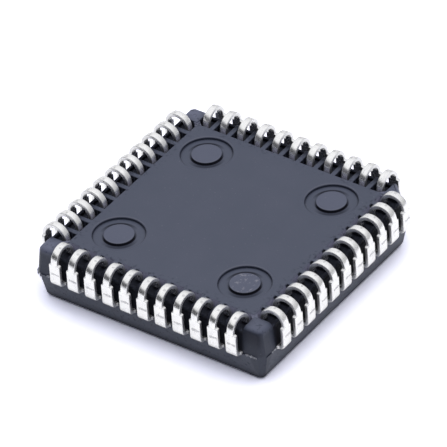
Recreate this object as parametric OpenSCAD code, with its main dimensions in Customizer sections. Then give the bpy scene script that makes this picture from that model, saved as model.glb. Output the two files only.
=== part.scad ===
// Plastic leaded chip carrier: a moulded square package with J leads on its four sides.
// It lies on its marking face with the leads up. Units are millimetres.
// The marking face is at z = 0, and +Z points out of the underside, to the seating plane of the leads.
// The index corner, cut by the large chamfer, is at +X +Y, and the lead numbers run clockwise seen from +Z.

/* [Leads] */
// Number of leads on each side, odd so that lead 1 sits at the middle of its side
leads_per_side = 11; // [7:2:11]
// Distance between neighbouring leads
pitch = 1.27; // [1.24:0.01:1.40]
// Thickness of the lead strip
lead_thickness = 0.25; // [0.20:0.01:0.30]
// Height from the marking face to the seating plane
seating_height = 4.37; // [4.25:0.01:4.57]
// Outer radius of the J bend under the package
j_radius = 0.88; // [0.76:0.01:1.00]
// Straight end of the lead past the J bend
tip_length = 0.16; // [0.05:0.01:0.30]
// Straight length of the lead between the package side and its bend
root_gap = 0.07; // [0.03:0.01:0.15]
// Inner radius of the bend beside the package
root_radius = 0.15; // [0.10:0.01:0.25]
// Width of the lead beside the package
wide_width = 0.76; // [0.66:0.01:0.81]
// Width of the lead round the J bend
narrow_width = 0.46; // [0.33:0.01:0.53]
// Drop of the shoulder's top below the start of the J bend
shoulder_drop = 0.05; // [0.02:0.01:0.30]
// Rise of the shoulder from the wide to the narrow width
shoulder_rise = 0.07; // [0.03:0.01:0.15]

/* [Package] */
// Distance from the middle of an end lead to the package side at the parting line
corner_margin = 1.945; // [1.90:0.005:2.00]
// Thickness of the moulded package
body_height = 3.70; // [3.60:0.01:3.86]
// Height of the parting line above the marking face
parting_height = 1.90; // [1.70:0.01:2.00]
// Draft of the sides of the marking half, in degrees
marking_draft = 12; // [5:0.5:14]
// Draft of the sides of the underside half, in degrees
underside_draft = 6; // [3:0.5:8]
// Step in from the marking half to the underside half at the parting line
mould_step = 0.06; // [0.02:0.01:0.12]
// Chamfer of the index corner, along each side
index_chamfer = 1.22; // [1.07:0.01:1.30]
// Chamfer of the other corners of the marking half
marking_chamfer = 0.46; // [0.25:0.01:0.51]
// Chamfer of the other corners of the underside half
underside_chamfer = 0.34; // [0.10:0.01:0.45]
// Edge radius round the marking face
marking_radius = 0.42; // [0.10:0.01:0.50]
// Edge radius round the underside
underside_radius = 0.32; // [0.15:0.01:0.40]

/* [Lead pockets] */
// Width of the rib left between two pockets, at its top
rib_width = 0.31; // [0.22:0.01:0.38]
// Clear space between a lead's J bend and the foot of the inner end of its pocket
pocket_clearance = 0.03; // [0.02:0.01:0.10]
// Clear space under the end of a lead
tip_clearance = 0.09; // [0.05:0.01:0.25]
// Draft of the side walls of a pocket, in degrees
pocket_draft = 4; // [1:0.5:6]
// Slope of the inner end of a pocket, in degrees from upright
pocket_end_draft = 30; // [10:1:36]
// Width of the web from the underside's plateau to each corner post
web_width = 0.40; // [0.30:0.01:0.46]
// Drop of the web below the underside
web_drop = 0.05; // [0.02:0.01:0.20]

/* [Mould marks] */
// Distance from the middle of a mark to the inner ends of the lead pockets
mark_inset = 2.15; // [1.85:0.01:2.40]
// Outer diameter of the ring
ring_diameter = 3.25; // [2.80:0.05:3.40]
// Diameter of the button inside the ring
button_diameter = 1.90; // [1.60:0.05:2.30]
// Depth of the ring
ring_depth = 0.16; // [0.06:0.01:0.20]
// Diameter of the dimple in the marking face beside lead 1
dimple_diameter = 1.50; // [0.80:0.05:2.00]
// Depth of the dimple
dimple_depth = 0.10; // [0.05:0.01:0.20]
// Distance from the package side to the middle of the dimple
dimple_inset = 2.20; // [1.80:0.05:3.00]

/* [Inside] */
// Side of the square die
die_size = 5.20; // [4.40:0.05:5.60]
// Thickness of the die
die_thickness = 0.38; // [0.25:0.01:0.50]
// Thickness of the adhesive under the die
attach_thickness = 0.03; // [0.02:0.01:0.05]
// Border of the die pad round the die
pad_border = 0.80; // [0.60:0.05:1.00]
// Gap between the die pad and the ends of the inner leads
pad_gap = 0.30; // [0.20:0.01:0.40]
// Width of an inner lead where it enters the package
inner_width = 0.50; // [0.40:0.01:0.60]
// Width of an inner lead at its end
inner_tip_width = 0.30; // [0.22:0.01:0.40]
// Straight length of an inner lead inside the package side
inner_straight = 1.00; // [0.60:0.05:1.40]
// Width of the bars that tie the die pad to the corners
tie_bar_width = 0.30; // [0.22:0.01:0.40]
// Gap between a tie bar and the end of the inner lead beside it
tie_gap = 0.12; // [0.08:0.01:0.20]
// Cover of moulding compound over the end of a tie bar
tie_bar_cover = 0.30; // [0.15:0.05:0.60]
// Thickness of a bond wire
wire_thickness = 0.03; // [0.025:0.005:0.05]
// Height of a wire's loop over the die
loop_height = 0.22; // [0.15:0.01:0.30]
// Size of the bend at the top of a wire's rise from the die
loop_bend = 0.07; // [0.04:0.01:0.10]
// Flat length at the top of a wire's loop
loop_flat = 0.15; // [0.08:0.01:0.20]
// Length of a wire's flat stitch on the inner lead
stitch_length = 0.12; // [0.08:0.01:0.16]
// Inset of a bond from the edge of the die or the end of the inner lead
bond_inset = 0.10; // [0.07:0.01:0.14]

/* [Hidden] */
$fn = 64;
// Overlap of a cutting shape past the face that it cuts
through = 1;
lead_count = 4 * leads_per_side;
row_half = (leads_per_side - 1) / 2 * pitch;

// Package
body_half = row_half + corner_margin;
underside_half = body_half - mould_step;
underside_height = body_height - parting_height;
// Length of the bars that the moulded halves are cut from, past every corner
bar_length = 4 * body_half;

// Leads
lead_low = parting_height - lead_thickness / 2;
root_outer_radius = root_radius + lead_thickness;
root_centre = body_half + root_gap;
lead_outer = root_centre + root_outer_radius;
j_centre = lead_outer - j_radius;
j_height = seating_height - j_radius;
shoulder_top = j_height - shoulder_drop;

// Pockets and marks of the underside
pocket_width = pitch - rib_width;
pocket_floor = j_height - tip_length - tip_clearance;
pocket_depth = body_height - pocket_floor;
pocket_foot = j_centre - j_radius - pocket_clearance;
pocket_inner = pocket_foot - pocket_depth * tan(pocket_end_draft);
post_inner = row_half + pocket_width / 2;
web_start = pocket_inner - web_width;
web_end = post_inner + web_width;
mark_offset = pocket_inner - mark_inset;

// Inside
attach_low = lead_low - attach_thickness;
die_low = attach_low - die_thickness;
pad_half = die_size / 2 + pad_border;
inner_tip = pad_half + pad_gap;
inner_knee = body_half - inner_straight;
inner_entry = body_half - mould_step;
inner_fan = inner_tip - (tie_bar_width / 2 + tie_gap) * sqrt(2) - inner_tip_width / 2;
inner_pitch = inner_fan / ((leads_per_side - 1) / 2);

function lead_name(pin) = str("lead_", pin < 10 ? "0" : "", pin);

// Place of a lead, counted clockwise from the -X end of the +Y side
function lead_place(pin) = (pin - 1 + (leads_per_side - 1) / 2) % lead_count;
function lead_angle(pin) = 90 - 90 * floor(lead_place(pin) / leads_per_side);
function lead_slot(pin) = (leads_per_side - 1) / 2 - lead_place(pin) % leads_per_side;

// Puts a shape drawn for the +X side, with its lead at y = 0, in the place of a lead
module at_lead(pin) {
    rotate([0, 0, lead_angle(pin)])
        translate([0, lead_slot(pin) * pitch, 0])
            children();
}

// Section of a moulded half: sides at -left and +right on the parting line, drafted up to a rounded edge
module drafted_section(left, right, height, draft, radius) {
    reach = radius / cos(draft) + (height - radius) * tan(draft);
    side = radius * cos(draft);
    rise = height - radius + radius * sin(draft);
    polygon([
        [-left, 0],
        [right, 0],
        [right - reach + side, rise],
        [right - reach, height],
        [-left + reach, height],
        [-left + reach - side, rise]
    ]);
    translate([right - reach, height - radius])
        circle(radius);
    translate([-left + reach, height - radius])
        circle(radius);
}

// A drafted section drawn out along the direction of an angle
module drafted_bar(angle, left, right, height, draft, radius) {
    rotate([0, 0, angle])
        rotate([90, 0, 0])
            linear_extrude(bar_length, center = true)
                drafted_section(left, right, height, draft, radius);
}

// Distance from the middle of a square to the chamfer on its corner
function corner_reach(half, chamfer) = (2 * half - chamfer) / sqrt(2);

// Moulded half on the parting plane: four drafted sides, three small corner chamfers and the index chamfer
module moulded_half(half, height, draft, radius, chamfer) {
    corner = corner_reach(half, chamfer);
    index_corner = corner_reach(half, index_chamfer);
    intersection() {
        drafted_bar(0, half, half, height, draft, radius);
        drafted_bar(90, half, half, height, draft, radius);
        drafted_bar(45, corner, index_corner, height, draft, radius);
        drafted_bar(-45, corner, corner, height, draft, radius);
    }
}

module marking_half() {
    translate([0, 0, parting_height])
        mirror([0, 0, 1])
            moulded_half(body_half, parting_height, marking_draft, marking_radius, marking_chamfer);
}

module underside_half_block() {
    translate([0, 0, parting_height])
        moulded_half(underside_half, underside_height, underside_draft, underside_radius, underside_chamfer);
}

// Room for the end of one lead, open to the underside and to the package side
module lead_pocket() {
    reach = body_half + through;
    taper = pocket_depth * tan(pocket_draft);
    top = pocket_width / 2 + through * tan(pocket_draft);
    intersection() {
        translate([pocket_inner - through, 0, pocket_floor])
            rotate([90, 0, 90])
                linear_extrude(reach - pocket_inner + through)
                    polygon([
                        [-pocket_width / 2 + taper, 0],
                        [pocket_width / 2 - taper, 0],
                        [top, pocket_depth + through],
                        [-top, pocket_depth + through]
                    ]);
        rotate([90, 0, 0])
            linear_extrude(2 * pitch, center = true)
                polygon([
                    [pocket_foot, pocket_floor],
                    [reach, pocket_floor],
                    [reach, body_height + through],
                    [pocket_inner - through * tan(pocket_end_draft), body_height + through]
                ]);
    }
}

// Webs that join the corner posts to the plateau of the underside
module corner_webs() {
    for (angle = [45:90:315])
        rotate([0, 0, angle])
            translate([web_start * sqrt(2), -web_width / 2, parting_height])
                cube([(web_end - web_start) * sqrt(2), web_width, underside_height - web_drop]);
}

// Ring recess of an ejector mark, with its button left standing
module mould_mark() {
    translate([0, 0, body_height - ring_depth])
        difference() {
            cylinder(d = ring_diameter, h = ring_depth + through);
            translate([0, 0, -through])
                cylinder(d = button_diameter, h = ring_depth + 3 * through);
        }
}

// Dimple in the marking face that shows where lead 1 is
module dimple() {
    translate([0, body_half - dimple_inset, -through])
        cylinder(d = dimple_diameter, h = dimple_depth + through);
}

// Inner lead in plan, drawn for the +X side: from the bend beside the package in to the fanned end
module inner_lead(slot) {
    shift = slot * (inner_pitch - pitch);
    translate([0, 0, lead_low])
        linear_extrude(lead_thickness)
            polygon([
                [root_centre, -wide_width / 2],
                [root_centre, wide_width / 2],
                [inner_entry, wide_width / 2],
                [inner_entry - (wide_width - inner_width) / 2, inner_width / 2],
                [inner_knee, inner_width / 2],
                [inner_tip, shift + inner_tip_width / 2],
                [inner_tip, shift - inner_tip_width / 2],
                [inner_knee, -inner_width / 2],
                [inner_entry - (wide_width - inner_width) / 2, -inner_width / 2],
                [inner_entry, -wide_width / 2]
            ]);
}

// Side view of the strip: one bend, as the part of a ring on the given side of its centre
module ring_part(outer_radius, corner, size) {
    intersection() {
        difference() {
            circle(outer_radius);
            circle(outer_radius - lead_thickness);
        }
        translate(corner)
            square(size);
    }
}

// Stands a side view, drawn as distance out and height, up as a strip of the given width
module strip(width) {
    rotate([90, 0, 0])
        linear_extrude(width, center = true)
            children();
}

// Lead beside the package: the bend up and the upright
module lead_upright() {
    intersection() {
        strip(wide_width) {
            translate([root_centre, lead_low + root_outer_radius])
                ring_part(root_outer_radius, [0, -root_outer_radius], root_outer_radius);
            translate([lead_outer - lead_thickness, lead_low + root_outer_radius])
                square([lead_thickness, j_height - lead_low - root_outer_radius]);
        }
        rotate([90, 0, 90])
            linear_extrude(lead_outer + through)
                polygon([
                    [-wide_width / 2, 0],
                    [wide_width / 2, 0],
                    [wide_width / 2, shoulder_top - shoulder_rise],
                    [narrow_width / 2, shoulder_top],
                    [narrow_width / 2, seating_height],
                    [-narrow_width / 2, seating_height],
                    [-narrow_width / 2, shoulder_top],
                    [-wide_width / 2, shoulder_top - shoulder_rise]
                ]);
    }
}

// Lead under the package: the J bend and its straight end
module lead_j() {
    strip(narrow_width) {
        translate([j_centre, j_height])
            ring_part(j_radius, [-j_radius, 0], 2 * j_radius);
        translate([j_centre - j_radius, j_height - tip_length])
            square([lead_thickness, tip_length]);
    }
}

// Loop of one bond wire, as the middle line of its side view: distance from the die bond and height
function wire_line(length) = [
    [0, die_low],
    [0, die_low - loop_height + loop_bend],
    [loop_bend, die_low - loop_height],
    [loop_bend + loop_flat, die_low - loop_height],
    [length - stitch_length, lead_low - wire_thickness / 2],
    [length, lead_low - wire_thickness / 2]
];

function unit(v) = v / norm(v);
function left_of(v) = [-v[1], v[0]];

// Offset of a line's point along the bisector of its two stretches
function line_offset(line, i, distance) =
    let (
        ahead = unit(line[min(i + 1, len(line) - 1)] - line[min(i, len(line) - 2)]),
        behind = unit(line[max(i, 1)] - line[max(i - 1, 0)]),
        across = unit(left_of(ahead) + left_of(behind))
    )
    line[i] + across * distance / (across * left_of(ahead));

function thick_line(line, thickness) = concat(
    [for (i = [0:len(line) - 1]) line_offset(line, i, thickness / 2)],
    [for (i = [len(line) - 1:-1:0]) line_offset(line, i, -thickness / 2)]
);

// Bond wire of one lead, drawn for the +X side, from the edge of the die to the end of the inner lead
module bond_wire(slot) {
    spread = (die_size / 2 - bond_inset) / (leads_per_side / 2);
    start = [die_size / 2 - bond_inset, slot * spread];
    end = [inner_tip + bond_inset + stitch_length, slot * inner_pitch];
    run = end - start;
    translate([start[0], start[1], 0])
        rotate([0, 0, atan2(run[1], run[0])])
            rotate([90, 0, 0])
                linear_extrude(wire_thickness, center = true)
                    polygon(thick_line(wire_line(norm(run)), wire_thickness));
}

module all_inner_leads() {
    for (pin = [1:lead_count])
        at_lead(pin)
            inner_lead(lead_slot(pin));
}

module all_bond_wires() {
    for (pin = [1:lead_count])
        rotate([0, 0, lead_angle(pin)])
            bond_wire(lead_slot(pin));
}

// Die pad with its four tie bars, of which the one at 45 degrees runs to the index corner
module pad_plate() {
    translate([0, 0, lead_low])
        linear_extrude(lead_thickness) {
            square(2 * pad_half, center = true);
            for (angle = [45:90:315]) {
                chamfer = angle == 45 ? index_chamfer : marking_chamfer;
                rotate(angle)
                    translate([0, -tie_bar_width / 2])
                        square([corner_reach(body_half, chamfer) - tie_bar_cover, tie_bar_width]);
            }
        }
}

module attach_layer() {
    translate([-die_size / 2, -die_size / 2, attach_low])
        cube([die_size, die_size, attach_thickness]);
}

module die_block() {
    translate([-die_size / 2, -die_size / 2, die_low])
        cube([die_size, die_size, die_thickness]);
}

module body() {
    color([0.20, 0.20, 0.24])
        difference() {
            union() {
                difference() {
                    union() {
                        marking_half();
                        underside_half_block();
                    }
                    for (pin = [1:lead_count])
                        at_lead(pin)
                            lead_pocket();
                }
                corner_webs();
            }
            for (x = [-mark_offset, mark_offset], y = [-mark_offset, mark_offset])
                translate([x, y, 0])
                    mould_mark();
            dimple();
            all_inner_leads();
            pad_plate();
            attach_layer();
            die_block();
            all_bond_wires();
        }
}

module lead(pin) {
    color([0.86, 0.87, 0.88])
        at_lead(pin) {
            inner_lead(lead_slot(pin));
            lead_upright();
            lead_j();
        }
}

module die_pad() {
    color([0.80, 0.55, 0.38])
        pad_plate();
}

module die_attach() {
    color([0.75, 0.75, 0.72])
        attach_layer();
}

module die() {
    color([0.32, 0.34, 0.40])
        die_block();
}

module bond_wires() {
    color([0.95, 0.78, 0.32])
        all_bond_wires();
}

body();
for (pin = [1:lead_count])
    lead(pin);
die_pad();
die_attach();
die();
bond_wires();
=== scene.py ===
"""Looks of a plastic leaded chip carrier that lies on its marking face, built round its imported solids."""
import math
import random
from collections import namedtuple

import bmesh
import bpy
import numpy as np
from mathutils import Matrix, Vector


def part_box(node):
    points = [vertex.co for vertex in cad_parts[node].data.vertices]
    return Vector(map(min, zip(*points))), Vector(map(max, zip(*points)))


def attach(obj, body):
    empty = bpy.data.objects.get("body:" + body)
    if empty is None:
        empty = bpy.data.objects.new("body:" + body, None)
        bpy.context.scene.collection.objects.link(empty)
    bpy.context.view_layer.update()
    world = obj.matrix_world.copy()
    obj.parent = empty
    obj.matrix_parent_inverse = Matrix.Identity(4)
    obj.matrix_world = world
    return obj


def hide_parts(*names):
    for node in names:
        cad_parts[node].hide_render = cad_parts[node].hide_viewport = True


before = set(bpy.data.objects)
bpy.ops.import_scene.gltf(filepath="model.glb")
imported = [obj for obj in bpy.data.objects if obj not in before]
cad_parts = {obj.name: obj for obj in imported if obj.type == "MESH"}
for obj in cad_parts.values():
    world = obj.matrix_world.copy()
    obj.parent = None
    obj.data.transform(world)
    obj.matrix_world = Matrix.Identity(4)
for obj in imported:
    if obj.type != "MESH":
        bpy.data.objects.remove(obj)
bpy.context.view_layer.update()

# A millimetre in metres, and the counts of leads
MM = 0.001
LEADS_PER_SIDE = 11
LEADS = 4 * LEADS_PER_SIDE
MIDDLE_SLOT = (LEADS_PER_SIDE - 1) // 2

# Sizes of the lead strip and its rows, in millimetres, and the share of the burr that has its full width
PITCH = 1.27
THICKNESS = 0.25
ROOT_GAP = 0.07
ROOT_RADIUS = 0.15
J_RADIUS = 0.88
TIP_LENGTH = 0.16
WIDE_WIDTH = 0.76
NARROW_WIDTH = 0.46
BURR = 0.08
BURR_LENGTH = 0.13
BURR_FULL = 0.25
SHOULDER_DROP = 0.05
SHOULDER_RISE = 0.07
INNER_WIDTH = 0.50
INNER_TIP_WIDTH = 0.30
INNER_STRAIGHT = 1.00
INNER_FAN = 3.168

# Sizes of the body, in millimetres, and the draft of its sides above the parting line
UNDERSIDE = 3.70
UNDERSIDE_DRAFT = math.radians(6)
PARTING_HEIGHT = 1.90
MOULD_STEP = 0.06
MARKING_CHAMFER = 0.46
MARK_OFFSET = 4.559
BUTTON_RADIUS = 0.95
RING_RADIUS = 1.625

# Camera, as fitted to the photograph, in degrees and millimetres, with its clipping in metres
VIEW_AZIMUTH = 37.307
VIEW_ELEVATION = 37.988
VIEW_ROLL = -4.109
VIEW_DISTANCE = 364.028
VIEW_TARGET = (-1.074, 1.175, 2.0)
VIEW_LENS = 488.543
SENSOR = 36.0
CLIP_START = 0.01
CLIP_END = 10.0

# Floor: half its side in metres, how far it lies below the part in millimetres, and its colour for the light
# that it throws back, to the camera and in reflections
FLOOR_REACH = 1.0
FLOOR_GAP = 0.01
FLOOR_LIT = 0.92
FLOOR_TO_CAMERA = (1.72, 1.72, 1.84, 1.0)
FLOOR_MIRRORED = (1.32, 1.31, 1.25, 1.0)

# Tent: its levels in reflections, 1 being white, the share of them that lights the part, and the ranges of
# direction over which they change
WHITE = (1.0, 1.0, 1.0, 1.0)
TENT_FRONT = (-0.10, -0.995, 0.0)
TENT_RIGHT = (0.77, 0.63, 0.0)
TENT_LOW = 0.80
TENT_LOW_RIGHT = 0.50
TENT_OPENING = 0.03
TENT_LIGHT = 0.60
TENT_COLOUR = (0.81, 0.85, 1.05, 1.0)
TENT_TURN = (0.0, 0.6)
TENT_CLIMB = (0.10, 0.80)
OPENING_SIDE = (0.30, 0.55)
OPENING_TOP = (0.50, 0.62)

# Lamp: place and size in millimetres, and power in watts
KEY_PLACE = (45, 35, 445)
KEY_SIZE = 620
KEY_POWER = 1.5
KEY_COLOUR = (1.0, 0.975, 0.92)


def box_mm(node):
    """Lowest and highest corner of a CAD node, in millimetres."""
    low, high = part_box(node)
    return low / MM, high / MM


# Node trees, and the span that the values of a noise mostly keep to
NOISE_SPAN = (0.3, 0.7)


def new_material(name):
    """A material with an empty tree but for its shader and output; gives the material, tree and shader."""
    material = bpy.data.materials.new(name)
    material.use_nodes = True
    tree = material.node_tree
    return material, tree, tree.nodes["Principled BSDF"]


def put(tree, socket, value):
    """Sets a socket to a value, or links it from another socket."""
    if isinstance(value, bpy.types.NodeSocket):
        tree.links.new(value, socket)
    else:
        socket.default_value = value


def add(tree, kind, values=None, **settings):
    """A node of one kind with its settings, and its sockets set to values or linked from other sockets."""
    node = tree.nodes.new(kind)
    for key, value in settings.items():
        setattr(node, key, value)
    for key, value in (values or {}).items():
        put(tree, node.inputs[key], value)
    return node


def noise(tree, vector, scale, detail=2.0, roughness=0.5):
    """Noise value with features of about 1 / scale in the vector's unit."""
    values = {"Vector": vector, "Scale": scale, "Detail": detail, "Roughness": roughness}
    return add(tree, "ShaderNodeTexNoise", values).outputs["Fac"]


def spread(tree, value, low, high, to_low=0.0, to_high=1.0):
    """The value's range from low to high, stretched to another range and held to it."""
    values = {"Value": value, "From Min": low, "From Max": high, "To Min": to_low, "To Max": to_high}
    return add(tree, "ShaderNodeMapRange", values).outputs["Result"]


def fade(tree, value, low, high, most=1.0):
    """The most where the value is low, down to nothing where it is high."""
    return spread(tree, value, low, high, most, 0.0)


def mix(tree, factor, one, two):
    """Colour between two colours; the node takes colours at inputs 6 and 7 and gives one at output 2."""
    return add(tree, "ShaderNodeMix", {0: factor, 6: one, 7: two}, data_type="RGBA").outputs[2]


def maths(tree, operation, one, two=0.0):
    """Result of one sum on two values."""
    return add(tree, "ShaderNodeMath", {0: one, 1: two}, operation=operation).outputs[0]


def product(tree, value, *others):
    """All the values multiplied."""
    for other in others:
        value = maths(tree, "MULTIPLY", value, other)
    return value


def largest(tree, value, *others):
    """The largest of the values."""
    for other in others:
        value = maths(tree, "MAXIMUM", value, other)
    return value


def apart(tree, one, two):
    """Distance between two values."""
    return maths(tree, "ABSOLUTE", maths(tree, "SUBTRACT", one, two))


def band(tree, value, rise, fall):
    """1 between two ranges of the value: it comes over the first and goes over the second."""
    return product(tree, spread(tree, value, *rise), fade(tree, value, *fall))


def stretched(tree, vector, factors):
    """A vector with each of its axes multiplied."""
    return add(tree, "ShaderNodeVectorMath", {0: vector, 1: factors}, operation="MULTIPLY").outputs["Vector"]


def place_mm(tree):
    """Place on the piece in the part's frame, in millimetres."""
    place = add(tree, "ShaderNodeTexCoord").outputs["Object"]
    scaled = add(tree, "ShaderNodeVectorMath", {0: place, "Scale": 1 / MM}, operation="SCALE")
    return scaled.outputs["Vector"]


def surface(tree, shader, colour, roughness, metallic=0.0):
    """Gives the shader its colour, roughness and share of metal."""
    put(tree, shader.inputs["Base Color"], colour)
    put(tree, shader.inputs["Roughness"], roughness)
    put(tree, shader.inputs["Metallic"], metallic)


def bump(tree, shader, height, depth_mm, strength):
    """Fine relief of a surface, as deep as given."""
    node = add(tree, "ShaderNodeBump", {"Height": height, "Distance": depth_mm * MM, "Strength": strength})
    tree.links.new(node.outputs["Normal"], shader.inputs["Normal"])


def grey(value, blue=1.0):
    """An opaque grey, cooler where blue is above 1."""
    return (value, value, value * blue, 1.0)


# Moulding compound: linear colours
COMPOUND_DARK = (0.054, 0.065, 0.099, 1.0)
COMPOUND_MID = (0.062, 0.072, 0.108, 1.0)
COMPOUND_GRAIN = (0.082, 0.092, 0.129, 1.0)
COMPOUND_RUBBED = (0.122, 0.134, 0.192, 1.0)
# Colour of scuffs and specks, and of painted highlights on the rims of the round marks
COMPOUND_SCUFF_AND_HIGHLIGHT = (0.24, 0.24, 0.28, 1.0)
# Painted light on the sloped inner ends of the pockets
COMPOUND_LIT_SLOPE = (0.150, 0.152, 0.215, 1.0)
# Painted shade in hollows, behind the leads, round the buttons, in pocket corners and on the front chamfer,
# and the colour of chips and of the darker post side
COMPOUND_SHADE_AND_CHIPS = (0.010, 0.010, 0.014, 1.0)

# Its noises, as features in a millimetre, detail and roughness, and the ranges of noise that show
CLOUDS = (0.45, 3.0)
GRAIN = (14.0, 3.0, 0.6)
SCUFFS = (3.6, 4.0, 0.65)
SPECKS = (7.0, 1.0)
CHIPS = (5.0, 3.0, 0.6)
WEAR_SPAN = (0.56, 0.66)
SPECK_SPAN = (0.72, 0.78)

# Shares of its colours at their strongest
GRAIN_SHARE = 0.35
BUTTON_SHARE = 0.42
FRONT_POST_SHARE = 0.42
SCUFF_SHARE = 0.85
SPECK_SHARE = 0.3
# Painted highlights on the rims of the round marks
RIM_HIGHLIGHT_SHARE = 0.16
CHIP_SHARE = 0.45
# Painted shade in the corners of the pockets' sloped ends
CORNER_SHADE_SHARE = 0.9
# Painted shade on the chamfer at the front corner
CHAMFER_SHADE_SHARE = 0.28
# Share of the painted shade in hollows that the lit pocket ends keep
SHADE_ON_SLOPE = 0.3

# Its roughness, its gloss over a range of painted shade and chips, and its relief as depth in millimetres
# and strength
COMPOUND_ROUGHNESS = (0.46, 0.58)
COMPOUND_GLOSS = (0.0, 0.9, 0.5, 0.05)
COMPOUND_RELIEF = (0.006, 0.6)
SCUFF_RELIEF = 3.0

# Ranges in millimetres: of x less y, which grows toward the front corner, of height, and of reach
POST_TURN = (2.0, 12.0)
FRONT_BUTTON = (6.0, 7.0)
# Range of x less y on the front corner's chamfers, which get painted shade
FRONT_CHAMFER = (15.50, 15.68)
CHAMFER_TOP = (3.0, 3.3)
CHIP_REACH = (6.15, 6.60)

# Round marks: the way to the front, and ranges of radius and height in millimetres and of the way a place
# faces, 1 being to the front; what follows a range's two ends is shares of painted shade
FRONT = (0.604, -0.797)
LEAST_RADIUS = 0.1
BUTTON_EDGE = (BUTTON_RADIUS - 0.06, BUTTON_RADIUS)
MARK_TOP = (UNDERSIDE - 0.06, UNDERSIDE - 0.02)
MARK_FLOOR = (UNDERSIDE - 0.12, UNDERSIDE - 0.06)
BUTTON_RIM = BUTTON_RADIUS - 0.04
RING_RIM = RING_RADIUS + 0.05
RIM_WIDTH = (0.03, 0.07)
# Ranges of facing over which the rims get painted highlights
BUTTON_HIGHLIGHT_FACING = (0.1, 0.6)
RING_HIGHLIGHT_FACING = (-0.7, -0.2)
# Painted shade on the recess floor round each button, behind and ahead of it
SHADE_RADIUS = 1.15
SHADE_WIDTH = (0.07, 0.14)
SHADE_BEHIND = (-0.90, -0.40, 0.80)
SHADE_AHEAD = (0.4, 0.9, 0.0, 0.55)
# Painted shade on the front walls of the buttons
BUTTON_WALL = (BUTTON_RADIUS - 0.03, BUTTON_RADIUS, 0.0, 0.95)
BUTTON_WALL_END = (BUTTON_RADIUS + 0.06, BUTTON_RADIUS + 0.10)
BUTTON_WALL_FACING = (-0.2, 0.4)

Place = namedtuple("Place", "x y z most least ahead")


def place_on_part(tree, vector):
    """A place, its larger and smaller reach from the middle, and how far it lies toward the front."""
    axes = add(tree, "ShaderNodeSeparateXYZ", {0: vector}).outputs
    x, y = axes["X"], axes["Y"]
    distances = [maths(tree, "ABSOLUTE", axis) for axis in (x, y)]
    most = maths(tree, "MAXIMUM", *distances)
    least = maths(tree, "MINIMUM", *distances)
    return Place(x, y, axes["Z"], most, least, maths(tree, "SUBTRACT", x, y))


def off_mark(tree, axis):
    """Distance along one axis from the middle of the nearest round mark."""
    return maths(tree, "SUBTRACT", axis, product(tree, maths(tree, "SIGN", axis), MARK_OFFSET))


def near_marks(tree, place):
    """Shares of a place on the round buttons, in painted highlights on rims and in painted shade round the
    buttons.
    """
    across = off_mark(tree, place.x)
    along = off_mark(tree, place.y)
    squares = [product(tree, leg, leg) for leg in (across, along)]
    reach = maths(tree, "SQRT", maths(tree, "ADD", *squares))
    ahead = maths(tree, "ADD", product(tree, across, FRONT[0]), product(tree, along, FRONT[1]))
    facing = maths(tree, "DIVIDE", ahead, maths(tree, "MAXIMUM", reach, LEAST_RADIUS))
    top = spread(tree, place.z, *MARK_TOP)
    floor = fade(tree, place.z, *MARK_FLOOR)
    button = fade(tree, reach, *BUTTON_EDGE)
    on_button_rim = fade(tree, apart(tree, reach, BUTTON_RIM), *RIM_WIDTH)
    on_ring_rim = fade(tree, apart(tree, reach, RING_RIM), *RIM_WIDTH)
    # Painted highlights on the rims: the button's on its front side, the ring's on its back side
    rim_highlights = largest(tree, product(tree, on_button_rim, spread(tree, facing, *BUTTON_HIGHLIGHT_FACING)),
                   product(tree, on_ring_rim, fade(tree, facing, *RING_HIGHLIGHT_FACING)))
    # Painted shade on the recess floor round the buttons and on their front walls
    side = largest(tree, fade(tree, facing, *SHADE_BEHIND), spread(tree, facing, *SHADE_AHEAD))
    recess_shade = product(tree, fade(tree, apart(tree, reach, SHADE_RADIUS), *SHADE_WIDTH), side, floor)
    wall_shade = product(tree, spread(tree, reach, *BUTTON_WALL), fade(tree, reach, *BUTTON_WALL_END),
                   spread(tree, facing, *BUTTON_WALL_FACING))
    return product(tree, button, top), product(tree, rim_highlights, top), largest(tree, recess_shade, wall_shade)


# Posts and walls: ranges of reach and height in millimetres, and the shares of painted shade on them
POST_REACH = (6.4, 7.3)
POST_HEIGHT = (3.2, UNDERSIDE - 0.05)
WALL_FOOT = (1.93, 1.98)
WALL_TOP = (3.30, 3.60)
WALL_REACH = (7.9, 8.0)
WALL_END = (6.75, 7.00)
WALL_BEHIND_LEADS = 0.88
WALL_ON_POSTS = 0.34
RIB_REACH = (7.20, 7.60, 0.0, 0.75)
RIB_END = (6.60, 6.80)
RIB_FOOT = (3.0, 3.1)
# Darker patch on the -Y side of the post at the +X -Y corner
DARK_SIDE_X = (6.55, 6.75)
DARK_SIDE_Y = (-8.05, -7.55)
DARK_SIDE_TOP = (3.54, 3.68)
DARK_SIDE_HEIGHT = (2.4, 3.4, 0.42, 0.70)


def on_posts(tree, place):
    """1 on top of the four corner posts, 0 elsewhere."""
    return product(tree, spread(tree, place.least, *POST_REACH), spread(tree, place.z, *POST_HEIGHT))


def shaded_walls(tree, place):
    """Painted shade on the ribs and on the walls above the parting line, most of it behind the leads."""
    height = band(tree, place.z, WALL_FOOT, WALL_TOP)
    share = spread(tree, place.least, *WALL_END, WALL_BEHIND_LEADS, WALL_ON_POSTS)
    walls = product(tree, spread(tree, place.most, *WALL_REACH), height, share)
    ribs = product(tree, spread(tree, place.most, *RIB_REACH), fade(tree, place.least, *RIB_END),
                   spread(tree, place.z, *RIB_FOOT))
    return largest(tree, walls, ribs)


def darker_post_side(tree, place):
    """Darker patch on the -Y side of the post at the +X -Y corner, more so toward its top."""
    side = product(tree, spread(tree, place.x, *DARK_SIDE_X), fade(tree, place.y, *DARK_SIDE_Y))
    height = band(tree, place.z, WALL_FOOT, DARK_SIDE_TOP)
    return product(tree, side, height, spread(tree, place.z, *DARK_SIDE_HEIGHT))


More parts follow.
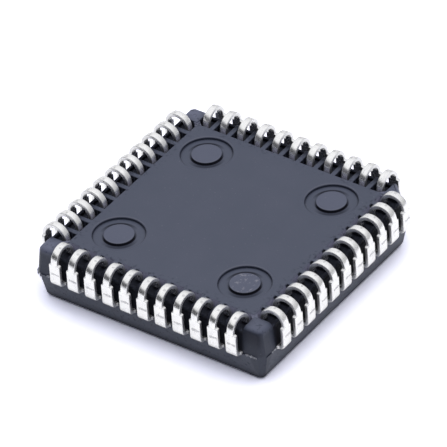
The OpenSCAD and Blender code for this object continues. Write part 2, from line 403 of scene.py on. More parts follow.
# Pockets: ranges in millimetres of the sloped inner end and of its corner on one side of the lead
SLOPE_START = (6.66, 6.74)
SLOPE_END = (6.98, 7.04)
SLOPE_TOP = (3.62, 3.69)
CORNER_SIDE = (0.24, 0.32)
CORNER_END = (6.70, 6.80)

# Painted shade in hollows and at steps: their width in millimetres, the samples of openness, its range over
# which the shade fades from the most, and the reach at which hollows start
HOLLOW = 0.8
STEP = 0.22
OPENNESS_SAMPLES = 8
HOLLOW_SHADE = (0.40, 0.95, 0.95)
STEP_SHADE = (0.45, 0.85, 0.88)
HOLLOW_START = (6.85, 7.15)


def from_lead(tree, axis):
    """Distance along a row from the middle of the nearest lead."""
    slot = maths(tree, "ROUND", maths(tree, "DIVIDE", axis, PITCH))
    return maths(tree, "SUBTRACT", axis, product(tree, slot, PITCH))


def pocket_ends(tree, place):
    """Shares of a place on the sloped inner end of a pocket in painted light, and in its corner in painted
    shade.
    """
    distances = [maths(tree, "ABSOLUTE", axis) for axis in (place.x, place.y)]
    on_x_sides = maths(tree, "GREATER_THAN", *distances)
    on_y_sides = maths(tree, "SUBTRACT", 1.0, on_x_sides)
    across = maths(tree, "SUBTRACT", product(tree, on_x_sides, from_lead(tree, place.y)),
                   product(tree, on_y_sides, from_lead(tree, place.x)))
    slope = product(tree, band(tree, place.most, SLOPE_START, SLOPE_END), fade(tree, place.z, *SLOPE_TOP))
    # The corner beside the lead gets painted shade
    corner = product(tree, spread(tree, across, *CORNER_SIDE), fade(tree, place.least, *CORNER_END))
    return product(tree, slope, maths(tree, "SUBTRACT", 1.0, corner)), product(tree, slope, corner)


def openness(tree, reach):
    """How open a place is to what lies within reach, 1 being free all round."""
    values = {"Distance": reach * MM}
    return add(tree, "ShaderNodeAmbientOcclusion", values, samples=OPENNESS_SAMPLES).outputs["AO"]


def painted_hollow_shade(tree, place):
    """Painted shade by openness under the leads, clear of the inner ends of the pockets, and along the foot
    of each step.
    """
    in_hollows = fade(tree, openness(tree, HOLLOW), *HOLLOW_SHADE)
    under_leads = product(tree, in_hollows, spread(tree, place.most, *HOLLOW_START))
    return largest(tree, under_leads, fade(tree, openness(tree, STEP), *STEP_SHADE))


def moulding_compound():
    """Dark blue-grey epoxy with a fine matt grain, rubbed, scuffed and chipped, with painted light and shade
    in places.
    """
    material, tree, shader = new_material("moulding_compound")
    vector = place_mm(tree)
    place = place_on_part(tree, vector)
    grain = noise(tree, vector, *GRAIN)
    colour = mix(tree, spread(tree, noise(tree, vector, *CLOUDS), *NOISE_SPAN), COMPOUND_DARK, COMPOUND_MID)
    colour = mix(tree, spread(tree, grain, *NOISE_SPAN, 0.0, GRAIN_SHARE), colour, COMPOUND_GRAIN)

    buttons, rim_highlights, mark_shade = near_marks(tree, place)
    post_share = spread(tree, place.ahead, *POST_TURN, 1.0, FRONT_POST_SHARE)
    posts = product(tree, on_posts(tree, place), post_share)
    colour = mix(tree, largest(tree, product(tree, buttons, BUTTON_SHARE), posts), colour, COMPOUND_RUBBED)
    scuffs = product(tree, spread(tree, noise(tree, vector, *SCUFFS), *WEAR_SPAN), buttons,
                     spread(tree, place.ahead, *FRONT_BUTTON))
    colour = mix(tree, product(tree, scuffs, SCUFF_SHARE), colour, COMPOUND_SCUFF_AND_HIGHLIGHT)
    specks = spread(tree, noise(tree, vector, *SPECKS), *SPECK_SPAN, 0.0, SPECK_SHARE)
    # Specks, and painted highlights on the rims of the marks
    colour = mix(tree, largest(tree, specks, product(tree, rim_highlights, RIM_HIGHLIGHT_SHARE)), colour, COMPOUND_SCUFF_AND_HIGHLIGHT)

    # Painted light on the sloped inner ends of the pockets, and painted shade in their corners beside the
    # leads
    lit_ends, corners = pocket_ends(tree, place)
    colour = mix(tree, lit_ends, colour, COMPOUND_LIT_SLOPE)
    # Painted shade in hollows under the leads and at steps, weaker on the lit pocket ends
    hollows = product(tree, painted_hollow_shade(tree, place), spread(tree, lit_ends, 0.0, 1.0, 1.0, SHADE_ON_SLOPE))
    chips = product(tree, spread(tree, noise(tree, vector, *CHIPS), *WEAR_SPAN, 0.0, CHIP_SHARE),
                    spread(tree, place.most, *CHIP_REACH))
    # Painted shade on the chamfers at the front corner, up to a little below the top
    chamfer_shade = product(tree, spread(tree, place.ahead, *FRONT_CHAMFER, 0.0, CHAMFER_SHADE_SHARE),
                      fade(tree, place.z, *CHAMFER_TOP))
    # Painted shade, chips and the darker post side together; they darken the colour and take away gloss
    dark = largest(tree, hollows, shaded_walls(tree, place), darker_post_side(tree, place), chips, mark_shade,
                   chamfer_shade, product(tree, corners, CORNER_SHADE_SHARE))
    colour = mix(tree, dark, colour, COMPOUND_SHADE_AND_CHIPS)

    surface(tree, shader, colour, spread(tree, grain, *NOISE_SPAN, *COMPOUND_ROUGHNESS))
    put(tree, shader.inputs["Specular IOR Level"], spread(tree, dark, *COMPOUND_GLOSS))
    relief = maths(tree, "ADD", grain, product(tree, scuffs, SCUFF_RELIEF))
    bump(tree, shader, relief, *COMPOUND_RELIEF)
    return material


# Tin plate: linear colours
TIN_BRIGHT = (0.95, 0.95, 0.95, 1.0)
TIN_CLOUDY = (0.86, 0.86, 0.88, 1.0)
TIN_MARK = (0.42, 0.42, 0.44, 1.0)
TIN_PIT = (0.30, 0.30, 0.32, 1.0)
TIN_CUT_DARK = (0.84, 0.84, 0.85, 1.0)
TIN_CUT_PALE = (0.98, 0.98, 0.98, 1.0)
TIN_CUT_SHADE = (0.05, 0.05, 0.06, 1.0)

# Its noises, as features in a millimetre, detail and roughness, with the ranges that show; the lines are
# drawn out along the strip
TIN_DRAWN = (26.0, 1.6, 1.0)
TIN_LINES = (1.0, 3.0, 0.6)
TIN_CLOUDS = (3.2, 4.0, 0.6)
TIN_PITS = (11.0, 1.0)
TIN_WANDER = (5.0, 2.0)
TIN_SWAY = (0.6, 1.0)
CLOUD_SPAN = (0.40, 0.75)
PIT_SPAN = (0.70, 0.78)
PIT_SHARE = 0.5

# Marks of the forming tool: a line across the upright, broken by the lines of the strip, and a small dent on
# top of the J. Each has its length of strip from the root bend and how far it strays, in millimetres, and
# the ranges of half length and half width over which it fades.
FORMING_MARK = 1.007
MARK_STRAY = 0.05
MARK_LENGTH = (0.03, 0.12)
MARK_WIDTH = (0.28, 0.36)
MARK_LINES = (0.35, 0.6, 0.35, 1.0)
TOP_DENT = 2.78
DENT_STRAY = 0.12
DENT_LENGTH = (0.03, 0.09, 0.5)
DENT_WIDTH = (0.06, 0.12)

# Share of metal on the faces, and on the cut sides by their distance from the middle of the upright; then
# the lengths of strip over which the faces turn dull and the cut sides dark
FACE_METAL = 0.90
UPRIGHT_MIDDLE = 1.15
CUT_METAL = (0.35, 0.58, 0.84, 0.70)
DULL_END = (3.45, 3.75)
DULL_FACE = (0.2, 0.5, 0.10)
DARK_END = (3.50, 4.00, 1.0, 0.35)

# Roughness with what the cut sides add, and relief, as depth and strength, with what they keep of it
TIN_ROUGHNESS = (0.19, 0.31)
CUT_SPAN = (0.3, 0.9)
CUT_ROUGHNESS = 0.06
CUT_RELIEF = 0.2
DENT_RELIEF = 1.5
TIN_RELIEF = (0.003, 0.35)


def tool_marks(tree, strip, lines):
    """Share of a place on the strip in the marks that the forming tool leaves."""
    axes = add(tree, "ShaderNodeSeparateXYZ", {0: strip}).outputs
    middle = maths(tree, "ABSOLUTE", axes["X"])
    wander = spread(tree, noise(tree, strip, *TIN_WANDER), *NOISE_SPAN, -MARK_STRAY, MARK_STRAY)
    from_mark = apart(tree, maths(tree, "ADD", axes["Y"], wander), FORMING_MARK)
    mark = product(tree, fade(tree, from_mark, *MARK_LENGTH), fade(tree, middle, *MARK_WIDTH),
                   spread(tree, lines, *MARK_LINES))
    sway = spread(tree, noise(tree, strip, *TIN_SWAY), *NOISE_SPAN, -DENT_STRAY, DENT_STRAY)
    from_dent = apart(tree, maths(tree, "ADD", axes["Y"], sway), TOP_DENT)
    dent = product(tree, fade(tree, from_dent, *DENT_LENGTH), fade(tree, middle, *DENT_WIDTH))
    return largest(tree, mark, dent)


def tin_plate():
    """Bright tin on stamped strip: fine lines along it, clouds, tool marks, pits and matt cut sides."""
    material, tree, shader = new_material("tin_plate")
    strip = add(tree, "ShaderNodeAttribute", attribute_name="strip").outputs["Vector"]
    cut = add(tree, "ShaderNodeAttribute", attribute_name="cut_side").outputs["Fac"]
    length = add(tree, "ShaderNodeSeparateXYZ", {0: strip}).outputs["Y"]
    lines = noise(tree, stretched(tree, strip, TIN_DRAWN), *TIN_LINES)
    clouds = noise(tree, strip, *TIN_CLOUDS)
    pits = spread(tree, noise(tree, strip, *TIN_PITS), *PIT_SPAN)
    marks = tool_marks(tree, strip, lines)
    colour = mix(tree, spread(tree, clouds, *CLOUD_SPAN), TIN_BRIGHT, TIN_CLOUDY)
    colour = mix(tree, marks, colour, TIN_MARK)
    colour = mix(tree, product(tree, pits, PIT_SHARE), colour, TIN_PIT)
    cut_colour = mix(tree, lines, TIN_CUT_DARK, TIN_CUT_PALE)
    cut_colour = mix(tree, spread(tree, length, *DARK_END), TIN_CUT_SHADE, cut_colour)
    colour = mix(tree, cut, colour, cut_colour)

    cut_metal = spread(tree, apart(tree, length, UPRIGHT_MIDDLE), *CUT_METAL)
    face = maths(tree, "SUBTRACT", 1.0, cut)
    metallic = maths(tree, "ADD", product(tree, cut, cut_metal), product(tree, face, FACE_METAL))
    dull = product(tree, spread(tree, length, *DULL_END), fade(tree, cut, *DULL_FACE))
    metallic = maths(tree, "SUBTRACT", metallic, dull)
    matt = spread(tree, cut, *CUT_SPAN, 0.0, CUT_ROUGHNESS)
    roughness = maths(tree, "ADD", spread(tree, clouds, *NOISE_SPAN, *TIN_ROUGHNESS), matt)
    surface(tree, shader, colour, roughness, metallic)
    hollows = product(tree, maths(tree, "ADD", pits, marks), DENT_RELIEF)
    height = maths(tree, "SUBTRACT", lines, hollows)
    kept = spread(tree, cut, *CUT_SPAN, 1.0, CUT_RELIEF)
    bump(tree, shader, product(tree, height, kept), *TIN_RELIEF)
    return material


# Materials inside the package and of the flash: linear colours, roughness, noises and reliefs as above
COPPER_DARK = (0.62, 0.30, 0.18, 1.0)
COPPER_PALE = (0.80, 0.45, 0.30, 1.0)
COPPER_ROUGHNESS = 0.28
COPPER_LINES = 18.0
GOLD_DARK = (0.80, 0.55, 0.20, 1.0)
GOLD_PALE = (0.95, 0.70, 0.32, 1.0)
GOLD_ROUGHNESS = 0.18
GOLD_LINES = 30.0
ROLLED = 0.12
ROLLED_LINES = (1.0, 3.0, 0.6)
ROLLED_ROUGHNESS = 0.12
ROLLED_RELIEF = (0.003, 0.4)
EPOXY_DARK = grey(0.30)
EPOXY_PALE = grey(0.62, 1.02)
FLAKES = (22.0, 2.0, 0.6)
FLAKE_SPAN = (0.45, 0.6)
FLAKE_METAL = 0.8
FLAKE_ROUGHNESS = (0.6, 0.35)
FLAKE_RELIEF = (0.004, 0.5)
SILICON_DARK = (0.10, 0.11, 0.13, 1.0)
SILICON_PALE = (0.17, 0.18, 0.21, 1.0)
SILICON_METAL = 0.6
SILICON_ROUGHNESS = (0.12, 0.3)
SAWN = (0.6, 0.6, 40.0)
SAW_LINES = (1.0, 2.0, 0.5)
SAW_RELIEF = (0.001, 0.4)
RESIN_DARK = (0.16, 0.17, 0.20, 1.0)
RESIN_PALE = (0.52, 0.53, 0.57, 1.0)
RESIN_CLOUDS = (9.0, 3.0, 0.6)
RESIN_SPAN = (0.35, 0.65)
RESIN_ROUGHNESS = (0.55, 0.40)
RESIN_RELIEF = (0.006, 0.5)


def metal_inside(name, dark, pale, roughness, scale):
    """A metal of the parts inside the package, with fine rolling lines."""
    material, tree, shader = new_material(name)
    lines = noise(tree, stretched(tree, place_mm(tree), (scale, scale * ROLLED, scale)), *ROLLED_LINES)
    rough = spread(tree, lines, *NOISE_SPAN, roughness, roughness + ROLLED_ROUGHNESS)
    surface(tree, shader, mix(tree, lines, dark, pale), rough, metallic=1.0)
    bump(tree, shader, lines, *ROLLED_RELIEF)
    return material


def silver_epoxy():
    """Grey adhesive full of silver flakes."""
    material, tree, shader = new_material("silver_epoxy")
    flakes = spread(tree, noise(tree, place_mm(tree), *FLAKES), *FLAKE_SPAN)
    roughness = spread(tree, flakes, 0.0, 1.0, *FLAKE_ROUGHNESS)
    metallic = spread(tree, flakes, 0.0, 1.0, 0.0, FLAKE_METAL)
    surface(tree, shader, mix(tree, flakes, EPOXY_DARK, EPOXY_PALE), roughness, metallic)
    bump(tree, shader, flakes, *FLAKE_RELIEF)
    return material


def silicon():
    """Polished blue-grey silicon with fine saw lines."""
    material, tree, shader = new_material("silicon")
    lines = noise(tree, stretched(tree, place_mm(tree), SAWN), *SAW_LINES)
    roughness = spread(tree, lines, *NOISE_SPAN, *SILICON_ROUGHNESS)
    surface(tree, shader, mix(tree, lines, SILICON_DARK, SILICON_PALE), roughness, SILICON_METAL)
    bump(tree, shader, lines, *SAW_RELIEF)
    return material


def resin_flash():
    """Thin pale skin of resin with dark clouds."""
    material, tree, shader = new_material("resin_flash")
    clouds = spread(tree, noise(tree, place_mm(tree), *RESIN_CLOUDS), *RESIN_SPAN)
    roughness = spread(tree, clouds, 0.0, 1.0, *RESIN_ROUGHNESS)
    surface(tree, shader, mix(tree, clouds, RESIN_DARK, RESIN_PALE), roughness)
    bump(tree, shader, clouds, *RESIN_RELIEF)
    return material


# Pieces

def skin_rings(build, rings):
    """Closed skin through rings of points, as many in each."""
    for ring, following in zip(rings, rings[1:]):
        count = len(ring)
        for i in range(count):
            j = (i + 1) % count
            build.faces.new((ring[i], ring[j], following[j], following[i]))
    build.faces.new(list(reversed(rings[0])))
    build.faces.new(rings[-1])


def smooth_mesh(name, build):
    """Smooth mesh of what has been built, with its faces turned outward."""
    bmesh.ops.recalc_face_normals(build, faces=build.faces)
    for face in build.faces:
        face.smooth = True
    mesh = bpy.data.meshes.new(name)
    build.to_mesh(mesh)
    build.free()
    return mesh


def add_piece(name, mesh, material):
    """A piece of the scene that rides with the part, in one material."""
    mesh.materials.append(material)
    piece = bpy.data.objects.new(name, mesh)
    bpy.context.scene.collection.objects.link(piece)
    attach(piece, "root")
    return piece


def paint(node, material):
    """Gives a CAD node one material."""
    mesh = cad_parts[node].data
    mesh.materials.clear()
    mesh.materials.append(material)


# Leads: rounding of the strip's outer and inner edges in millimetres, and the steps of each stretch
OUTER_EDGE = 0.06
INNER_EDGE = 0.045
EDGE_STEPS = 3
ROOT_STEPS = 9
UPRIGHT_STEPS = 6
SHOULDER_STEPS = 6
J_STEPS = 37

# The station at the start of the root bend, from which lengths of strip count, and the shifts of the noises
# across the strip for each millimetre through it, and from one lead to the next
ROOT_STATION = 5
FACE_SHIFT = 0.7
LEAD_SHIFT = 7.3

# The CAD lead in the middle of the +X side, whose box gives the reach and height of them all
MODEL_LEAD = "lead_12"

Station = namedtuple("Station", "out height turn offset width")


def lead_stations(side_shift, inner_tip, body_half, outer, seating):
    """Stations of a lead on the +X side, with the strip's turn, the offset of its middle and its width."""
    root_centre = body_half + ROOT_GAP
    root_middle = ROOT_RADIUS + THICKNESS / 2
    j_middle = J_RADIUS - THICKNESS / 2
    j_height = seating - J_RADIUS
    j_centre = outer - J_RADIUS
    entry = body_half - MOULD_STEP
    neck = entry - (WIDE_WIDTH - INNER_WIDTH) / 2
    burr_width = WIDE_WIDTH + 2 * BURR
    upright = root_centre + root_middle
    upright_foot = PARTING_HEIGHT + root_middle
    shoulder_top = j_height - SHOULDER_DROP
    shoulder_foot = shoulder_top - SHOULDER_RISE
    stations = [
        Station(inner_tip, PARTING_HEIGHT, 0.0, side_shift, INNER_TIP_WIDTH),
        Station(body_half - INNER_STRAIGHT, PARTING_HEIGHT, 0.0, 0.0, INNER_WIDTH),
        Station(neck, PARTING_HEIGHT, 0.0, 0.0, INNER_WIDTH),
        Station(entry, PARTING_HEIGHT, 0.0, 0.0, burr_width),
        Station(entry + BURR_LENGTH * BURR_FULL, PARTING_HEIGHT, 0.0, 0.0, burr_width),
    ]
    for turn in np.linspace(0, math.pi / 2, ROOT_STEPS):
        out = root_centre + root_middle * math.sin(turn)
        height = PARTING_HEIGHT + root_middle * (1 - math.cos(turn))
        stations.append(Station(out, height, turn, 0.0, WIDE_WIDTH))
    for height in np.linspace(upright_foot, shoulder_foot, UPRIGHT_STEPS)[1:-1]:
        stations.append(Station(upright, height, math.pi / 2, 0.0, WIDE_WIDTH))
    for share in np.linspace(0, 1, SHOULDER_STEPS):
        ease = share * share * (3 - 2 * share)
        width = WIDE_WIDTH + (NARROW_WIDTH - WIDE_WIDTH) * ease
        stations.append(Station(upright, shoulder_foot + SHOULDER_RISE * share, math.pi / 2, 0.0, width))
    for turn in np.linspace(0, math.pi, J_STEPS):
        out = j_centre + j_middle * math.cos(turn)
        height = j_height + j_middle * math.sin(turn)
        stations.append(Station(out, height, math.pi / 2 + turn, 0.0, NARROW_WIDTH))
    for drop in (TIP_LENGTH / 2, TIP_LENGTH):
        stations.append(Station(j_centre - j_middle, j_height - drop, 1.5 * math.pi, 0.0, NARROW_WIDTH))
    return stations


def strip_section(width):
    """Rounded section of the strip: points across and through it, and how far each faces a cut side."""
    points = []
    corners = [(1, -1, OUTER_EDGE, -90), (1, 1, INNER_EDGE, 0),
               (-1, 1, INNER_EDGE, 90), (-1, -1, OUTER_EDGE, 180)]
    for across, through, radius, start in corners:
        for step in range(EDGE_STEPS + 1):
            angle = math.radians(start + 90 * step / EDGE_STEPS)
            points.append((across * (width / 2 - radius) + radius * math.cos(angle),
                           through * (THICKNESS / 2 - radius) + radius * math.sin(angle),
                           abs(math.cos(angle))))
    return points


def lead_mesh(name, stations, lead_number):
    """Mesh of a lead on the +X side, with each point's place on the strip and share of cut side."""
    build = bmesh.new()
    rings = []
    places = []
    sides = []
    middle = [Vector((station.out, station.offset, station.height)) for station in stations]
    steps = [0.0] + [(there - here).length for here, there in zip(middle, middle[1:])]
    lengths = np.cumsum(steps)
    lengths -= lengths[ROOT_STATION]
    for here, length, station in zip(middle, lengths, stations):
        normal = Vector((-math.sin(station.turn), 0, math.cos(station.turn)))
        ring = []
        for across, through, side in strip_section(station.width):
            point = here + Vector((0, across, 0)) + normal * through
            ring.append(build.verts.new(point * MM))
            places.append((across + through * FACE_SHIFT, length, lead_number * LEAD_SHIFT))
            sides.append(side)
        rings.append(ring)
    skin_rings(build, rings)
    mesh = smooth_mesh(name, build)
    strip = mesh.attributes.new("strip", "FLOAT_VECTOR", "POINT")
    strip.data.foreach_set("vector", np.array(places, np.float32).ravel())
    cut = mesh.attributes.new("cut_side", "FLOAT", "POINT")
    cut.data.foreach_set("value", np.array(sides, np.float32))
    return mesh


def lead_place(pin):
    """Turn about +Z and slot of a lead, numbered clockwise from the middle of the +Y side."""
    place = (pin - 1 + MIDDLE_SLOT) % LEADS
    return math.radians(90 - 90 * (place // LEADS_PER_SIDE)), MIDDLE_SLOT - place % LEADS_PER_SIDE


def make_leads(material):
    """One rounded, plated lead for each CAD lead, in its place."""
    body_half = box_mm("body")[1].x
    side_low, side_high = box_mm(MODEL_LEAD)
    for pin in range(1, LEADS + 1):
        turn, slot = lead_place(pin)
        node = f"lead_{pin:02d}"
        shift = slot * (INNER_FAN / MIDDLE_SLOT - PITCH)
        stations = lead_stations(shift, side_low.x, body_half, side_high.x, side_high.z)
        mesh = lead_mesh(node + "_plated", stations, pin)
        mesh.transform(Matrix.Rotation(turn, 4, "Z") @ Matrix.Translation((0, slot * PITCH * MM, 0)))
        piece = add_piece(node + "_plated", mesh, material)
        piece.modifiers.new("even normals", "WEIGHTED_NORMAL")
        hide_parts(node)


# Body: limits for welding, in metres, and for flat and sharp edges; its largest rounding in millimetres,
# with the share of it that most edges get, and the places of the edges that stay sharp or get all of it
WELD = 1e-7
FLAT = math.radians(0.5)
SHARP = math.radians(30)
EDGE_ROUND = 0.14
FINE_SHARE = 0.3
ROUND_STEPS = 2
HIDDEN_REACH = 8.15
HIDDEN_HEIGHTS = (0.5, 2.3)
LEDGE_HEIGHTS = (1.70, 2.10)
CORNER_REACH = 7.0
UPRIGHT_EDGE = 0.8


def edge_weight(edge):
    """Share of the rounding that an edge gets: none if blunt, hollow, inside or at the parting line."""
    if len(edge.link_faces) != 2 or edge.calc_face_angle_signed(0) < SHARP:
        return 0.0
    points = [vertex.co / MM for vertex in edge.verts]
    for point in points:
        reach = max(abs(point.x), abs(point.y))
        if reach < HIDDEN_REACH and HIDDEN_HEIGHTS[0] < point.z < HIDDEN_HEIGHTS[1]:
            return 0.0
        if LEDGE_HEIGHTS[0] < point.z < LEDGE_HEIGHTS[1]:
            return 0.0
    upright = abs(points[0].z - points[1].z) > UPRIGHT_EDGE
    corner = all(min(abs(point.x), abs(point.y)) > CORNER_REACH for point in points)
    return 1.0 if upright and corner else FINE_SHARE


def make_body(material):
    """The moulded body with its outer edges rounded a little, as the mould leaves them."""
    build = bmesh.new()
    build.from_mesh(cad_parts["body"].data)
    bmesh.ops.remove_doubles(build, verts=build.verts, dist=WELD)
    bmesh.ops.dissolve_limit(build, angle_limit=FLAT, verts=build.verts, edges=build.edges)
    weights = build.edges.layers.float.new("bevel_weight_edge")
    for edge in build.edges:
        edge[weights] = edge_weight(edge)
        edge.smooth = abs(edge.calc_face_angle(0)) < SHARP
    for face in build.faces:
        face.smooth = True
    mesh = bpy.data.meshes.new("body_moulded")
    build.to_mesh(mesh)
    build.free()
    if "custom_normal" in mesh.attributes:
        mesh.attributes.remove(mesh.attributes["custom_normal"])
    piece = add_piece("body_moulded", mesh, material)
    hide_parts("body")
    rounding = piece.modifiers.new("mould edges", "BEVEL")
    rounding.limit_method = "WEIGHT"
    rounding.offset_type = "OFFSET"
    rounding.width = EDGE_ROUND * MM
    rounding.segments = ROUND_STEPS
    rounding.use_clamp_overlap = False
    normals = piece.modifiers.new("even normals", "WEIGHTED_NORMAL")
    normals.keep_sharp = True


# Sills of the lead pockets, in millimetres; the setback keeps their outer faces behind the package side
SILL_INNER = 7.86
SILL_FOOT = 3.22
SILL_TOP = 3.46
SILL_HALF_WIDTH = 0.48
SILL_ROUND = 0.05
SILL_STEPS = 3
SILL_SETBACK = 0.01


def side_at(body_half, height):
    """Distance of the package side from the middle, at a height above the parting line."""
    return body_half - MOULD_STEP - (height - PARTING_HEIGHT) * math.tan(UNDERSIDE_DRAFT)


def sill_section(body_half):
    """Section of a sill, rounded on top, as points out from the middle and up."""
    foot_out, top_out = (side_at(body_half, height) - SILL_SETBACK for height in (SILL_FOOT, SILL_TOP))
    points = [(SILL_INNER, SILL_FOOT), (foot_out, SILL_FOOT)]
    for out, start in ((top_out - SILL_ROUND, 0), (SILL_INNER + SILL_ROUND, 90)):
        for step in range(SILL_STEPS + 1):
            angle = math.radians(start + 90 * step / SILL_STEPS)
            height = SILL_TOP - SILL_ROUND + SILL_ROUND * math.sin(angle)
            points.append((out + SILL_ROUND * math.cos(angle), height))
    return points


def make_sills(material):
    """Low sill across the outer end of each lead pocket, which keeps the end of the lead in a recess."""
    section = sill_section(box_mm("body")[1].x)
    build = bmesh.new()
    for pin in range(1, LEADS + 1):
        turn, slot = lead_place(pin)
        place = Matrix.Rotation(turn, 4, "Z")
        rings = []
        for across in (slot * PITCH - SILL_HALF_WIDTH, slot * PITCH + SILL_HALF_WIDTH):
            ring = [place @ Vector((out, across, height)) * MM for out, height in section]
            rings.append([build.verts.new(point) for point in ring])
        skin_rings(build, rings)
    piece = add_piece("pocket_sills", smooth_mesh("pocket_sills", build), material)
    piece.modifiers.new("even normals", "WEIGHTED_NORMAL")


# Flash at the parting line: the turn of each corner from the +X -Y one in degrees, with the skins on its
# first side, its chamfer and its second side. A skin has its rise, lean and drop in millimetres, and the
# share of the side that it leaves bare. The skin with the large drop is the stub of the gate.
Skin = namedtuple("Skin", "rise lean drop bare")
FLASH_CORNERS = {
    0: (Skin(0.11, 0.05, 0.05, 0.2), None, Skin(0.04, 0.03, 0.03, 0.5)),
    -90: (Skin(0.03, 0.02, 0.03, 0.0), Skin(0.05, 0.10, 0.36, 0.0), Skin(0.08, 0.03, 0.03, 0.45)),
    180: (Skin(0.03, 0.02, 0.03, 0.0), Skin(0.03, 0.03, 0.03, 0.0), Skin(0.03, 0.02, 0.03, 0.0)),
}
FLASH_SEED = 21
CORNER_SEEDS = 10

# Raggedness of the flash: its steps, its thickness at the start and the largest change from step to step,
# as shares of the most, and its taper, which is over at a sixth of the length from each end
FLASH_STEPS = 40
FLASH_START = 0.5
FLASH_CHANGE = 0.4
FLASH_TAPER = 6

# Section of the flash: its hidden root, least rise, lip and distance from the leads in millimetres, and the
# heights of the lip's foot and of the back as shares of the rise
FLASH_BASE = 0.08
FLASH_LEAST = 0.004
FLASH_LIP = 0.03
LEAD_CLEARANCE = 0.10
LIP_FOOT = 0.35
BACK_RISE = 0.8


def flash_fin(name, start, end, skin, seed):
    """Ragged skin of resin along one edge of the ledge at the parting line."""
    chance = random.Random(seed)
    edge = end - start
    outward = Vector((edge.y, -edge.x, 0)).normalized()
    build = bmesh.new()
    rings = []
    thick = FLASH_START
    for i in range(FLASH_STEPS + 1):
        share = i / FLASH_STEPS
        taper = min(1.0, FLASH_TAPER * share, FLASH_TAPER * (1 - share))
        thick = min(1.0, max(0.0, thick + chance.uniform(-FLASH_CHANGE, FLASH_CHANGE)))
        up = skin.rise * thick * taper + FLASH_LEAST
        out = skin.lean * thick * taper
        here = start + edge * share
        section = [(-FLASH_BASE, -FLASH_LEAST), (out, -skin.drop * thick), (out, up * LIP_FOOT),
                   (out - FLASH_LIP, up), (-FLASH_BASE, up * BACK_RISE)]
        points = [here + outward * reach + Vector((0, 0, PARTING_HEIGHT + lift)) for reach, lift in section]
        rings.append([build.verts.new(point * MM) for point in points])
    skin_rings(build, rings)
    return smooth_mesh(name, build)


def make_flash(material):
    """Flash at three corners of the ledge, thickest at the +X -Y and -X -Y ones."""
    half = box_mm("body")[1].x
    inner = PITCH * MIDDLE_SLOT + WIDE_WIDTH / 2 + LEAD_CLEARANCE
    marks = [(inner, -half), (half - MARKING_CHAMFER, -half), (half, MARKING_CHAMFER - half), (half, -inner)]
    for place, (corner, skins) in enumerate(FLASH_CORNERS.items()):
        turn = Matrix.Rotation(math.radians(corner), 4, "Z")
        points = [turn @ Vector((x, y, 0)) for x, y in marks]
        for side, skin in enumerate(skins):
            if skin is None:
                continue
            name = f"flash_{place + 1}_{side + 1}"
            start = points[side].lerp(points[side + 1], skin.bare)
            seed = FLASH_SEED + CORNER_SEEDS * place + side
            mesh = flash_fin(name, start, points[side + 1], skin, seed)
            add_piece(name, mesh, material)


# Stage

def ray_kinds(tree):
    """Whether a ray comes from the camera, and whether it is a reflection or comes through glass."""
    rays = add(tree, "ShaderNodeLightPath").outputs
    return rays["Is Camera Ray"], maths(tree, "MAXIMUM", rays["Is Glossy Ray"], rays["Is Transmission Ray"])


def make_floor():
    """Pale floor that shows white to the camera and in reflections where nothing shades it."""
    material = bpy.data.materials.new("floor_white")
    material.use_nodes = True
    tree = material.node_tree
    tree.nodes.clear()
    camera, mirrored = ray_kinds(tree)
    colour = mix(tree, camera, grey(FLOOR_LIT), FLOOR_TO_CAMERA)
    colour = mix(tree, mirrored, colour, FLOOR_MIRRORED)
    diffuse = add(tree, "ShaderNodeBsdfDiffuse", {"Color": colour})
    add(tree, "ShaderNodeOutputMaterial", {"Surface": diffuse.outputs[0]})
    build = bmesh.new()
    bmesh.ops.create_grid(build, x_segments=1, y_segments=1, size=FLOOR_REACH)
    mesh = bpy.data.meshes.new("floor")
    build.to_mesh(mesh)
    build.free()
    mesh.materials.append(material)
    floor = bpy.data.objects.new("floor", mesh)
    floor.location = (0, 0, -FLOOR_GAP * MM)
    bpy.context.scene.collection.objects.link(floor)


def tent_level(tree):
    """Brightness of a white tent by direction: dimmer near the floor, and open and dark toward -Y."""
    direction = add(tree, "ShaderNodeTexCoord").outputs["Generated"]
    height = add(tree, "ShaderNodeSeparateXYZ", {0: direction}).outputs["Z"]
    front, right = (
        add(tree, "ShaderNodeVectorMath", {0: direction, 1: way}, operation="DOT_PRODUCT").outputs["Value"]
        for way in (TENT_FRONT, TENT_RIGHT))
    low = spread(tree, right, *TENT_TURN, TENT_LOW, TENT_LOW_RIGHT)
    climb = spread(tree, height, *TENT_CLIMB)
    cloth = maths(tree, "ADD", low, product(tree, climb, climb, maths(tree, "SUBTRACT", 1.0, low)))
    opening = product(tree, spread(tree, front, *OPENING_SIDE), fade(tree, height, *OPENING_TOP))
    return product(tree, cloth, spread(tree, opening, 0.0, 1.0, 1.0, TENT_OPENING))


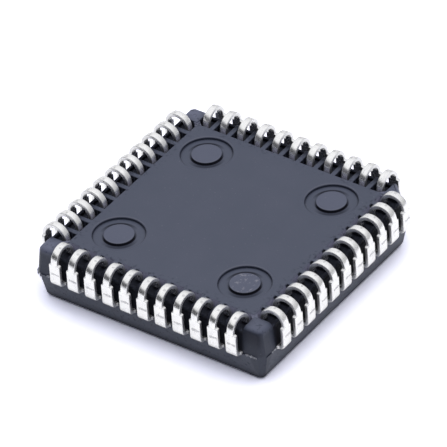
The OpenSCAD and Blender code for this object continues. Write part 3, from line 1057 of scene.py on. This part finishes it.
def make_world():
    """Soft tent of white cloth: plain white to the camera, and a cool fill for what it lights."""
    world = bpy.data.worlds.new("studio")
    bpy.context.scene.world = world
    world.use_nodes = True
    tree = world.node_tree
    tree.nodes.clear()
    camera, mirrored = ray_kinds(tree)
    level = tent_level(tree)
    light = product(tree, level, TENT_LIGHT)
    fill = add(tree, "ShaderNodeBackground", {"Color": TENT_COLOUR, "Strength": light})
    cloth = add(tree, "ShaderNodeBackground", {"Color": WHITE, "Strength": level})
    white = add(tree, "ShaderNodeBackground", {"Color": WHITE, "Strength": 1.0})
    lit = add(tree, "ShaderNodeMixShader", {0: mirrored, 1: fill.outputs[0], 2: cloth.outputs[0]})
    both = add(tree, "ShaderNodeMixShader", {0: camera, 1: lit.outputs[0], 2: white.outputs[0]})
    add(tree, "ShaderNodeOutputWorld", {"Surface": both.outputs[0]})


def make_key():
    """Large soft lamp over the part, a little toward +X +Y; reflections show the tent in its place."""
    lamp = bpy.data.lights.new("key", "AREA")
    lamp.shape = "SQUARE"
    lamp.size = KEY_SIZE * MM
    lamp.energy = KEY_POWER
    lamp.color = KEY_COLOUR
    holder = bpy.data.objects.new("key", lamp)
    holder.location = Vector(KEY_PLACE) * MM
    holder.rotation_mode = "QUATERNION"
    holder.rotation_quaternion = Vector(KEY_PLACE).to_track_quat("Z", "Y")
    holder.visible_glossy = False
    bpy.context.scene.collection.objects.link(holder)


def make_camera():
    """Camera at the photograph's viewing angle."""
    azimuth, elevation, roll = (math.radians(x) for x in (VIEW_AZIMUTH, VIEW_ELEVATION, VIEW_ROLL))
    back = Vector((math.sin(azimuth) * math.cos(elevation), -math.cos(azimuth) * math.cos(elevation),
                   math.sin(elevation)))
    right = Vector((math.cos(azimuth), math.sin(azimuth), 0))
    up = back.cross(right)
    across = math.cos(roll) * right + math.sin(roll) * up
    upward = math.cos(roll) * up - math.sin(roll) * right
    data = bpy.data.cameras.new("camera")
    data.lens = VIEW_LENS
    data.sensor_width = SENSOR
    data.clip_start = CLIP_START
    data.clip_end = CLIP_END
    camera = bpy.data.objects.new("camera", data)
    turned = Matrix((across, upward, back)).transposed().to_4x4()
    turned.translation = (Vector(VIEW_TARGET) + back * VIEW_DISTANCE) * MM
    camera.matrix_world = turned
    bpy.context.scene.collection.objects.link(camera)
    bpy.context.scene.camera = camera


make_camera()
make_floor()
make_world()
make_key()
compound = moulding_compound()
make_body(compound)
make_sills(compound)
make_leads(tin_plate())
make_flash(resin_flash())
paint("die_pad", metal_inside("copper_alloy", COPPER_DARK, COPPER_PALE, COPPER_ROUGHNESS, COPPER_LINES))
paint("die_attach", silver_epoxy())
paint("die", silicon())
paint("bond_wires", metal_inside("gold_wire", GOLD_DARK, GOLD_PALE, GOLD_ROUGHNESS, GOLD_LINES))

bpy.context.scene.view_settings.view_transform = "Standard"
